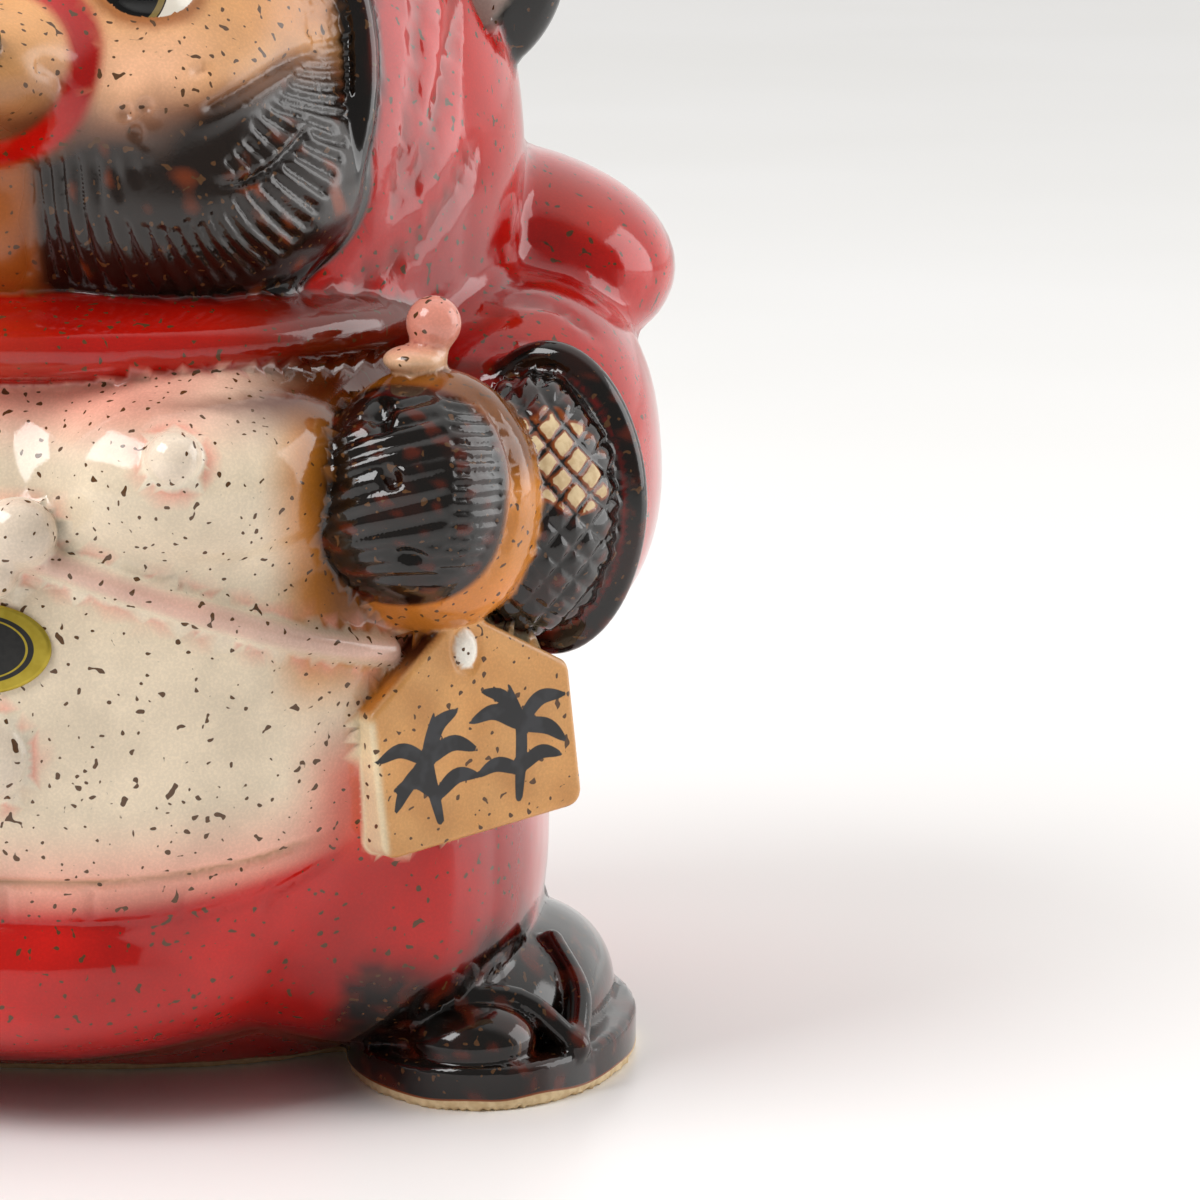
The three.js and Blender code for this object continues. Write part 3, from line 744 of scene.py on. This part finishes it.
def painted(p, near, relief):
    """Soft airbrushed colour and roughness of the glaze at each point."""
    x, y, z = p.T
    side = np.abs(x)
    left = smooth(-4, 4, x)
    tone = mixed(np.tile(RED, (len(p), 1)), DEEP_RED, 0.35 + 0.35 * cloud(p, 30, 1))
    rough = np.full(len(p), 0.08)
    groove = smooth(0.1, 0.9, -relief)

    # belly, and the band of the trousers that fades from cream to red
    lower = 31.5 + 8.5 * (side / 48) ** 2.6
    upper = 37.8 + 5.6 * (side / 47) ** 2.6
    front = smooth(-26, -40, y) * smooth(58, 52, side)
    band = smooth(0.0, 1.1, (z - lower) / (upper - lower))
    belly = front * band * over(("torso",), near, 2, 0.5)
    tone = mixed(tone, CREAM, belly)
    tone = mixed(tone, PINK, belly * 0.75 * smooth(upper + 10, upper - 2, z))
    tone = mixed(tone, colour("e04028"), belly * 0.8 * smooth(upper + 1, lower, z))
    tone = mixed(tone, PINK, belly * 0.8 * smooth(96, 105, z) * smooth(48, 20, side))
    tone = mixed(tone, AMBER, belly * smooth(38, 45, side) * smooth(58, 70, z))
    tone = mixed(tone, DARK_AMBER, belly * smooth(42, 49, side) * smooth(64, 74, z) * 0.9)
    tone = mixed(tone, BROWN, front * smooth(99, 104, z) * smooth(30, 42, side) * 0.8)
    tone = mixed(tone, ORANGE_RED, front * smooth(40, 50, side) * smooth(62, 50, z) * smooth(36, 42, z) * 0.8)
    hem_line = smooth(1.2, 0.2, np.abs(z - upper)) * (y < -45) * (side < 50)
    tone = mixed(tone, colour("9a7038"), hem_line * groove * 0.8)

    # pink edges of the navel, the nipples, the cord and its knot
    for name, tint, share in (("navel", PINK, 0.8), ("nipple_l", PINK, 0.75), ("nipple_r", PINK, 0.75),
                              ("cord", PINK, 0.55), ("knot_l", PINK, 0.5), ("knot_r", PINK, 0.5)):
        tone = mixed(tone, tint, share * smooth(0.4, 0.7, near[name]) * smooth(2.2, 0.9, near[name]) * front)
    for name in ("navel", "nipple_l", "nipple_r", "knot_l", "knot_r", "cord"):
        tone = mixed(tone, colour("efe2cc"), over((name,), near, 0.5, 0.2) * (0.9 if name != "cord" else 0.6))

    # jacket, hood and collar
    clothes = over(("hood", "cape", "sleeve", "flap"), near, 1.0, 0.2) * (1 - belly * smooth(0.2, 0.8, near["collar"]))
    red = mixed(np.tile(RED, (len(p), 1)), DEEP_RED, 0.2 + 0.35 * cloud(p, 34, 2))
    red = mixed(red, ORANGE_RED, 0.35 * smooth(0, 1, cloud(p, 22, 3)))
    tone = np.where(clothes[:, None] > 0, mixed(tone, red, clothes) if clothes.any() else tone, tone)
    collar = over(("collar",), near, 0.9, 0.2)
    band_tone = mixed(red, BROWN, 0.15 + 0.75 * smooth(24, 48, side) + 0.25 * smooth(111, 103, z))
    tone = mixed(tone, band_tone, collar)
    tone = mixed(tone, BROWN, smooth(1.4, 0.3, np.abs(z - 104.6)) * smooth(14, 40, side) * (y < -30) * 0.7)
    tone = mixed(tone, BROWN, over(("hood", "cape"), near) * groove * 0.55)
    tone = mixed(tone, BROWN, over(("sleeve",), near) * groove * 0.4)

    # face: tan above, rosier round the muzzle, sprayed brown and black over the jowls
    face = over(("face", "snout"), near, 1.0, 0.3)
    skin = mixed(np.tile(TAN, (len(p), 1)), ROSE_TAN, smooth(8, 14, side) * smooth(36, 24, side) * smooth(160, 150, z))
    skin = mixed(skin, colour("c47a3c"), smooth(30, 46, side) * 0.8 * smooth(150, 156, z))
    skin = mixed(skin, BROWN, over(("snout",), near, 3, 0.5) * smooth(153, 147, z) * 0.55)
    fur_top = 143.5 + 5.5 * smooth(24, 40, side) + 1.5 * cloud(p, 12, 4) - 1.5 * smooth(14, 4, side)
    fur = smooth(fur_top + 1.8, fur_top - 4.5, z) * smooth(2.5, 8, side)
    skin = mixed(skin, BROWN, smooth(fur_top + 5, fur_top - 1, z) * 0.75)
    skin = mixed(skin, BLACK, fur * 0.97)
    wear = np.clip(cloud(p, 5, 5) - 0.55, 0, 1) * 1.4 * fur * smooth(0.4, 0.1, -relief)
    skin = mixed(skin, FUR_WEAR, wear * 0.6)
    chin = smooth(7, 3.5, side) * smooth(140, 135, z)
    skin = mixed(skin, colour("b4601c"), chin * 0.9)
    edge = smooth(42.5, 47.5, side + 0.2 * np.maximum(0, z - 160)) * smooth(148, 152, z)
    skin = mixed(skin, BLACK, edge * 0.9)
    tone = mixed(tone, skin, face)
    rough = rough + face * 0.2 * (1 - fur) + face * 0.1 * fur
    rim = over(("rim",), near, 1.6, 0.3)
    tone = mixed(tone, BLACK, rim * smooth(1.5, 0.4, np.maximum(near["face"] - 2.2, 0)))
    rough = rough * (1 - rim) + 0.07 * rim

    # ears, nose and eyelids
    ear = over(("ear",), near, 1.2, 0.4)
    tone = mixed(tone, BLACK, ear * smooth(48, 52, side))
    hollow = np.minimum(outside(EAR_HOLLOW, p), outside(twin(EAR_HOLLOW), p))
    tone = mixed(tone, WHITE, smooth(0.6, -0.2, hollow) * ear * (y < 0))
    tone = mixed(tone, colour("7d7a74"), smooth(-1.5, -3, hollow + 0.6 * cloud(p, 9, 6)) * ear * (y < 0) * 0.6)
    tone = mixed(tone, BLACK, over(("nose",), near, 0.8, 0.2))
    lid = smooth(2.4, 0.8, least(near, ("eye",))) * (y < -50)
    tone = mixed(tone, colour("9c5218"), lid * 0.75)

    # arms, flask and its stopper
    arm = over(("paw", "forearm", "cuff"), near, 1.0, 0.2)
    dark = mixed(np.tile(BLACK, (len(p), 1)), colour("3a1408"), 0.35 * smooth(0.1, 0.9, cloud(p, 9, 7)))
    dark = mixed(dark, colour("6a2410"), 0.55 * smooth(0.4, 0.9, cloud(p, 4, 8)) * smooth(0.5, 0.1, -relief))
    tone = mixed(tone, dark, arm)
    flask = over(("flask",), near, 0.7, 0.1) * smooth(0.1, 0.7, near["paw_l"])
    glow = mixed(np.tile(AMBER, (len(p), 1)), colour("e08a3a"), smooth(82, 76, z))
    glow = mixed(glow, DARK_AMBER, smooth(88, 98, z) + 0.3 * cloud(p, 12, 9))
    tone = mixed(tone, glow, flask)
    stopper = over(("stopper", "lip", "neck"), near, 0.6, 0.1)
    tone = mixed(tone, mixed(np.tile(ROSE, (len(p), 1)), colour("f2c49c"), smooth(112, 108, z)), stopper)

    # tablet: tan face, cream edges, dark amber along its upper left edge
    q = on_tablet(p)
    tablet = over(("tablet",), near, 0.6, 0.1)
    board = mixed(np.tile(colour("dfa463"), (len(p), 1)), colour("c98a48"), 0.3 + 0.3 * cloud(p, 8, 10))
    board = mixed(board, colour("f2dcb4"), smooth(-0.5, -1.3, q[:, 2]))
    board = mixed(board, colour("f2dcb4"), smooth(-16.0, -17, q[:, 0]) * smooth(10, 8, q[:, 1]))
    slope_edge = smooth(-0.3, -1.2, q[:, 2]) * smooth(8.5, 10.5, q[:, 1]) * smooth(1, -1, q[:, 0])
    board = mixed(board, AMBER, slope_edge)
    board = mixed(board, colour("4a1c0a"), slope_edge * smooth(12, 17, q[:, 1]))
    gap = np.hypot(q[:, 0] / TABLET["bore"][0], (q[:, 1] - TABLET["hole"]) / TABLET["bore"][1])
    board = mixed(board, colour("f3eee2"), smooth(1.12, 0.95, gap) * (q[:, 2] > -2))
    tone = mixed(tone, board, tablet)
    rough = rough * (1 - tablet) + tablet * (0.3 - 0.2 * smooth(1.1, 0.9, gap))

    # sandals, and trouser legs sprayed black towards them
    foot = over(("instep", "toe", "sole", "thong0", "thong1"), near, 1.2, 0.3)
    cuff_height = 21 + 3.2 * cloud(p, 14, 11) - 9 * smooth(52, 44, side) + 3 * smooth(60, 66, side)
    spray = over(("torso",), near, 2, 0.5) * smooth(cuff_height + 3, cuff_height - 4, z) * smooth(40, 47, side) * (y < 12)
    tone = mixed(tone, dark, np.maximum(foot, spray))
    return tone, rough


tone, rough = painted(carved, near, relief)


# Crisp edges are kept as distances that a material cuts at zero.
def spray_of_leaves(at, size, leaves):
    """Brush strokes that fan out from a place: each a line and the half width at its middle."""
    return [
        (np.array(at) + size * np.array(((0, 0), (math.cos(a) * 0.55, math.sin(a) * 0.6), (math.cos(a + bend), math.sin(a + bend)))), half)
        for a, bend, half in ((math.radians(a), math.radians(b), h) for a, b, h in leaves)
    ]


def ink_at(q):
    """Distance outside the brush strokes on the tablet's face."""
    best = np.full(len(q), 9.0)
    for line, half in BRUSH:
        gap, passed = near_line(q, curve(line, 12))
        swell = half * (0.25 + 0.75 * np.sin(math.pi * np.clip(passed * 0.9 + 0.12, 0, 1)) ** 0.7)
        best = np.minimum(best, gap - swell)
    return best


BRUSH = (
    spray_of_leaves((-7.5, -7.8), 15.5, ((97, -10, 1.0),))
    + spray_of_leaves((-8.6, 1.2), 8.5, ((150, 18, 1.1), (214, 10, 1.2), (62, -16, 1.3), (18, -20, 1.2)))
    + spray_of_leaves((-7.6, -4.2), 7.5, ((140, 20, 1.0), (28, -18, 1.2)))
    + spray_of_leaves((6.2, -7.8), 16.5, ((80, 9, 1.0),))
    + spray_of_leaves((7.6, 2.6), 8.6, ((146, 18, 1.2), (118, 14, 1.1), (36, -18, 1.2), (-14, -14, 1.2)))
    + spray_of_leaves((6.8, -3.8), 7.4, ((158, 16, 1.1), (22, -18, 1.1)))
)

board = on_tablet(points)
ink = np.where((near["tablet"] < 0.5) & (board[:, 2] > -0.8), ink_at(board[:, :2]), 9.0)

side = np.abs(points[:, 0])
eye_near = least(near, ("eye",))
pupil = np.hypot(side - 17.4, (points[:, 2] - 161)) - 6.1
ball = np.where((eye_near < 0.35) & (points[:, 1] < -52), eye_near - 0.25, 9.0)

turn = math.radians(BARE_CELLS["turn"])
over_x, over_z = points[:, 0] - BARE_CELLS["at"][0], points[:, 2] - BARE_CELLS["at"][1]
across = over_x * math.cos(turn) + over_z * math.sin(turn)
along = over_z * math.cos(turn) - over_x * math.sin(turn)
patch = (np.hypot(across / BARE_CELLS["half"][0], along / BARE_CELLS["half"][1]) - 1) * BARE_CELLS["half"][0]
patch += 0.7 * cloud(points, 5, 12)
cell = 0.5 - hatch_gap(side, points[:, 2]) + 0.12 * cloud(points, 1.6, 13)
bare = np.where((near["forearm_l"] < 0.4) & (points[:, 1] < -40), np.maximum(patch, cell), 9.0)
bare = np.minimum(bare, points[:, 2] - 1.4 - 0.25 * cloud(points, 9, 14))

positions = carved.copy()
positions[:, 2] = np.maximum(positions[:, 2], 0)
positions[:, 1] += MIDDLE_Y
positions *= MM


def mesh_of(name, positions, faces, normals=None):
    mesh = bpy.data.meshes.new(name)
    mesh.from_pydata(positions.tolist(), [], faces.tolist())
    mesh.polygons.foreach_set("use_smooth", np.ones(len(mesh.polygons), bool))
    if normals is not None:
        mesh.normals_split_custom_set_from_vertices(normals.tolist())
    piece = bpy.data.objects.new(name, mesh)
    bpy.context.scene.collection.objects.link(piece)
    return piece


def number(mesh, name, values):
    mesh.attributes.new(name, "FLOAT", "POINT").data.foreach_set("value", np.asarray(values, np.float32))


glazed = mesh_of("glazed_tanuki", positions, triangles, normals)
glazed.data.attributes.new("tint", "FLOAT_COLOR", "POINT").data.foreach_set(
    "color", np.column_stack((tone, np.ones(len(tone)))).astype(np.float32).ravel())
for name, values in (("roughness", rough), ("ink", ink), ("pupil", pupil), ("ball", ball), ("bare", bare), ("carving", relief)):
    number(glazed.data, name, values)


class Nodes:
    """Short way to write a material's nodes and the links between them."""

    def __init__(self, name):
        self.material = bpy.data.materials.new(name)
        self.material.use_nodes = True
        self.tree = self.material.node_tree
        self.tree.nodes.clear()

    def node(self, kind, settings=None, **inputs):
        made = self.tree.nodes.new(kind)
        for key, value in (settings or {}).items():
            setattr(made, key, value)
        for key, value in inputs.items():
            socket = made.inputs[int(key[1:])] if key[0] == "_" else made.inputs[key.replace("_", " ")]
            if isinstance(value, bpy.types.NodeSocket):
                self.tree.links.new(value, socket)
            else:
                socket.default_value = value
        return made

    def attribute(self, name):
        return self.node("ShaderNodeAttribute", {"attribute_name": name})

    def sum(self, operation, *values):
        inputs = {f"_{i}": value for i, value in enumerate(values)}
        return self.node("ShaderNodeMath", {"operation": operation}, **inputs).outputs[0]

    def step(self, value, low, high, start=0.0, end=1.0):
        made = self.node("ShaderNodeMapRange", {"interpolation_type": "SMOOTHSTEP"}, Value=value)
        for key, number_ in (("From Min", low), ("From Max", high), ("To Min", start), ("To Max", end)):
            made.inputs[key].default_value = number_
        return made.outputs[0]

    def mix(self, share, a, b):
        made = self.node("ShaderNodeMix", {"data_type": "RGBA"})
        for index, value in ((0, share), (6, a), (7, b)):
            if isinstance(value, bpy.types.NodeSocket):
                self.tree.links.new(value, made.inputs[index])
            else:
                made.inputs[index].default_value = value
        return made.outputs[2]

    def noise(self, scale, detail=2.0, rough=0.5):
        place = self.node("ShaderNodeTexCoord").outputs["Object"]
        return self.node("ShaderNodeTexNoise", Vector=place, Scale=scale, Detail=detail, Roughness=rough).outputs[0]

    def finish(self, surface):
        self.node("ShaderNodeOutputMaterial", Surface=surface.outputs[0])
        return self.material


def rgba(code):
    return (*colour(code), 1.0)


def glaze_material():
    n = Nodes("painted_glaze")
    tint = n.attribute("tint").outputs["Color"]
    pooled = n.step(n.noise(90.0), 0.3, 0.7, 0.86, 1.06)
    mottled = n.node("ShaderNodeVectorMath", {"operation": "SCALE"}, _0=tint, Scale=pooled).outputs[0]
    specks = n.step(n.noise(900.0, 0.0), 0.735, 0.76)
    base = n.mix(specks, mottled, rgba("5a3c22"))
    grain = n.step(n.noise(2600.0, 1.0), 0.35, 0.75, 0.94, 1.04)
    base = n.node("ShaderNodeVectorMath", {"operation": "SCALE"}, _0=base, Scale=grain).outputs[0]

    ball = n.attribute("ball").outputs["Fac"]
    pupil = n.attribute("pupil").outputs["Fac"]
    iris = n.mix(n.step(pupil, 0.92, 1.0), rgba("8e7a46"), rgba("f3ecdd"))
    iris = n.mix(n.step(n.sum("ABSOLUTE", n.sum("SUBTRACT", pupil, 0.9)), 0.14, 0.05), iris, rgba("2a1a0c"))
    iris = n.mix(n.step(pupil, 0.06, -0.06), iris, rgba("060505"))
    is_ball = n.step(ball, 0.05, -0.05)
    base = n.mix(is_ball, base, iris)

    brushed = n.step(n.attribute("ink").outputs["Fac"], 0.07, -0.07)
    faded = n.mix(n.step(n.noise(260.0), 0.45, 0.6), rgba("17171a"), rgba("2c2d31"))
    base = n.mix(brushed, base, faded)

    bare = n.step(n.attribute("bare").outputs["Fac"], 0.08, -0.08)
    rimmed = n.step(n.attribute("bare").outputs["Fac"], 0.42, 0.1, 0.0, 0.75)
    base = n.mix(rimmed, base, rgba("9a4a16"))
    clay = n.mix(n.step(n.noise(700.0, 3.0), 0.35, 0.65), rgba("cdb084"), rgba("e0c79c"))
    base = n.mix(bare, base, clay)

    roughness = n.sum("ADD", n.attribute("roughness").outputs["Fac"], n.step(n.noise(60.0), 0.35, 0.7, -0.01, 0.04))
    roughness = n.sum("MAXIMUM", roughness, n.sum("MULTIPLY", bare, 0.75))
    roughness = n.sum("MAXIMUM", n.sum("MULTIPLY", roughness, n.step(is_ball, 0.0, 1.0, 1.0, 0.3)), 0.04)
    waves = n.node("ShaderNodeBump", Strength=0.3, Distance=0.0006, Height=n.noise(75.0, 1.0))
    pores = n.node("ShaderNodeBump", Strength=0.12, Distance=0.0001, Height=n.noise(1500.0, 2.0), Normal=waves.outputs[0])
    shader = n.node("ShaderNodeBsdfPrincipled", Roughness=roughness, Normal=pores.outputs[0])
    n.tree.links.new(base, shader.inputs["Base Color"])
    shader.inputs["IOR"].default_value = 1.52
    return n.finish(shader)


glazed.data.materials.append(glaze_material())


def label_piece():
    """Foil label that follows the belly, a hair in front of it."""
    rings, spokes = 14, 96
    share = np.linspace(0, 1, rings + 1)[1:]
    angle = np.linspace(0, 2 * math.pi, spokes, endpoint=False)
    x = np.concatenate(((0,), (share[:, None] * np.cos(angle)).ravel())) * LABEL["half"][0]
    z = np.concatenate(((0,), (share[:, None] * np.sin(angle)).ravel())) * LABEL["half"][1] + LABEL["up"]
    belly = on_form(group(TORSO), x, z)
    front = np.column_stack((x, belly - LABEL["gap"] - LABEL["thick"], z))
    back = np.column_stack((x, belly - LABEL["gap"], z))
    corners = np.concatenate((front, back))
    count = len(x)
    faces = []
    for k in range(spokes):
        after = (k + 1) % spokes
        faces.append((0, 1 + k, 1 + after))
        faces.append((count, count + 1 + after, count + 1 + k))
        for r in range(rings - 1):
            a, b = 1 + r * spokes + k, 1 + r * spokes + after
            c, d = a + spokes, b + spokes
            faces += [(a, c, d), (a, d, b), (count + a, count + d, count + c), (count + a, count + b, count + d)]
        a, b = 1 + (rings - 1) * spokes + k, 1 + (rings - 1) * spokes + after
        faces += [(a, count + a, count + b), (a, count + b, b)]
    corners[:, 1] += MIDDLE_Y
    piece = mesh_of("foil_label", corners * MM, np.array(faces))
    share_out = np.concatenate(((0,), np.repeat(share, spokes)))
    number(piece.data, "outward", np.concatenate((share_out, share_out)))
    return piece


def foil_material():
    n = Nodes("gold_foil")
    outward = n.attribute("outward").outputs["Fac"]
    gold = n.mix(n.step(n.noise(500.0, 2.0), 0.3, 0.7), rgba("a8922e"), rgba("b8a23c"))
    ring = n.step(n.sum("ABSOLUTE", n.sum("SUBTRACT", outward, 0.66)), 0.02, 0.012)
    inner = n.step(outward, 0.765, 0.755)
    black = n.mix(n.step(n.noise(1400.0), 0.4, 0.6), rgba("0c0b0a"), rgba("161412"))
    printed = n.mix(ring, black, gold)
    base = n.mix(inner, gold, printed)
    metal = n.sum("SUBTRACT", 1.0, n.sum("MULTIPLY", inner, n.sum("SUBTRACT", 1.0, ring)))
    crumple = n.node("ShaderNodeBump", Strength=0.15, Distance=0.0003, Height=n.noise(220.0, 2.0))
    shader = n.node("ShaderNodeBsdfPrincipled", Roughness=0.3, Normal=crumple.outputs[0])
    n.tree.links.new(base, shader.inputs["Base Color"])
    n.tree.links.new(n.sum("MULTIPLY", metal, 0.7), shader.inputs["Metallic"])
    return n.finish(shader)


label = label_piece()
label.data.materials.append(foil_material())

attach(glazed, "root")
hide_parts("tanuki_figure")
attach(label, "root")
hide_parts("oval_label")


def floor_material():
    n = Nodes("pale_floor")
    base = n.mix(n.step(n.noise(3.0), 0.3, 0.7), rgba("f4f3f1"), rgba("f8f7f6"))
    shader = n.node("ShaderNodeBsdfPrincipled", Roughness=0.32)
    n.tree.links.new(base, shader.inputs["Base Color"])
    return n.finish(shader)


def floor_piece():
    size = 6.0
    flat = np.array(((-size, -size, 0), (size, -size, 0), (size, size, 0), (-size, size, 0)), float)
    floor = mesh_of("floor", flat, np.array(((0, 1, 2, 3),)))
    floor.data.materials.append(floor_material())
    return floor


floor_piece()


def soft_light(name, place, aim, width, height, power, tint=(1.0, 1.0, 1.0)):
    lamp = bpy.data.lights.new(name, "AREA")
    lamp.shape = "RECTANGLE"
    lamp.size, lamp.size_y, lamp.energy, lamp.color = width, height, power, tint
    holder = bpy.data.objects.new(name, lamp)
    holder.location = place
    from mathutils import Vector
    holder.rotation_euler = (Vector(aim) - Vector(place)).to_track_quat("-Z", "Y").to_euler()
    bpy.context.scene.collection.objects.link(holder)
    return holder


AIM = (0.0, 0.0, 0.1)
soft_light("key", (-0.75, -0.55, 1.05), AIM, 0.9, 0.7, 16.0)
soft_light("side", (1.3, 0.35, 0.5), AIM, 1.0, 1.0, 8.0)


def surroundings():
    """Pale room: bright behind and beside the figure, dimmer on the side that it faces."""
    world = bpy.data.worlds.new("pale_room")
    bpy.context.scene.world = world
    world.use_nodes = True
    tree = world.node_tree
    tree.nodes.clear()
    place = tree.nodes.new("ShaderNodeTexCoord")
    split = tree.nodes.new("ShaderNodeSeparateXYZ")
    fade = tree.nodes.new("ShaderNodeMapRange")
    fade.interpolation_type = "SMOOTHSTEP"
    for key, value in (("From Min", -0.35), ("From Max", 0.1), ("To Min", 0.25), ("To Max", 1.0)):
        fade.inputs[key].default_value = value
    background = tree.nodes.new("ShaderNodeBackground")
    background.inputs["Color"].default_value = (1.0, 0.99, 0.975, 1.0)
    out = tree.nodes.new("ShaderNodeOutputWorld")
    tree.links.new(place.outputs["Generated"], split.inputs[0])
    tree.links.new(split.outputs["Y"], fade.inputs["Value"])
    tree.links.new(fade.outputs[0], background.inputs["Strength"])
    tree.links.new(background.outputs[0], out.inputs[0])


surroundings()

scene = bpy.context.scene
scene.view_settings.view_transform = "Standard"
camera_data = bpy.data.cameras.new("camera")
camera_data.sensor_width = 36.0
camera_data.lens = 168.3
camera = bpy.data.objects.new("camera", camera_data)
camera.location = (0.13809, -0.82665, 0.212)
camera.rotation_euler = (math.radians(80), 0.0, math.radians(4))
scene.collection.objects.link(camera)
scene.camera = camera
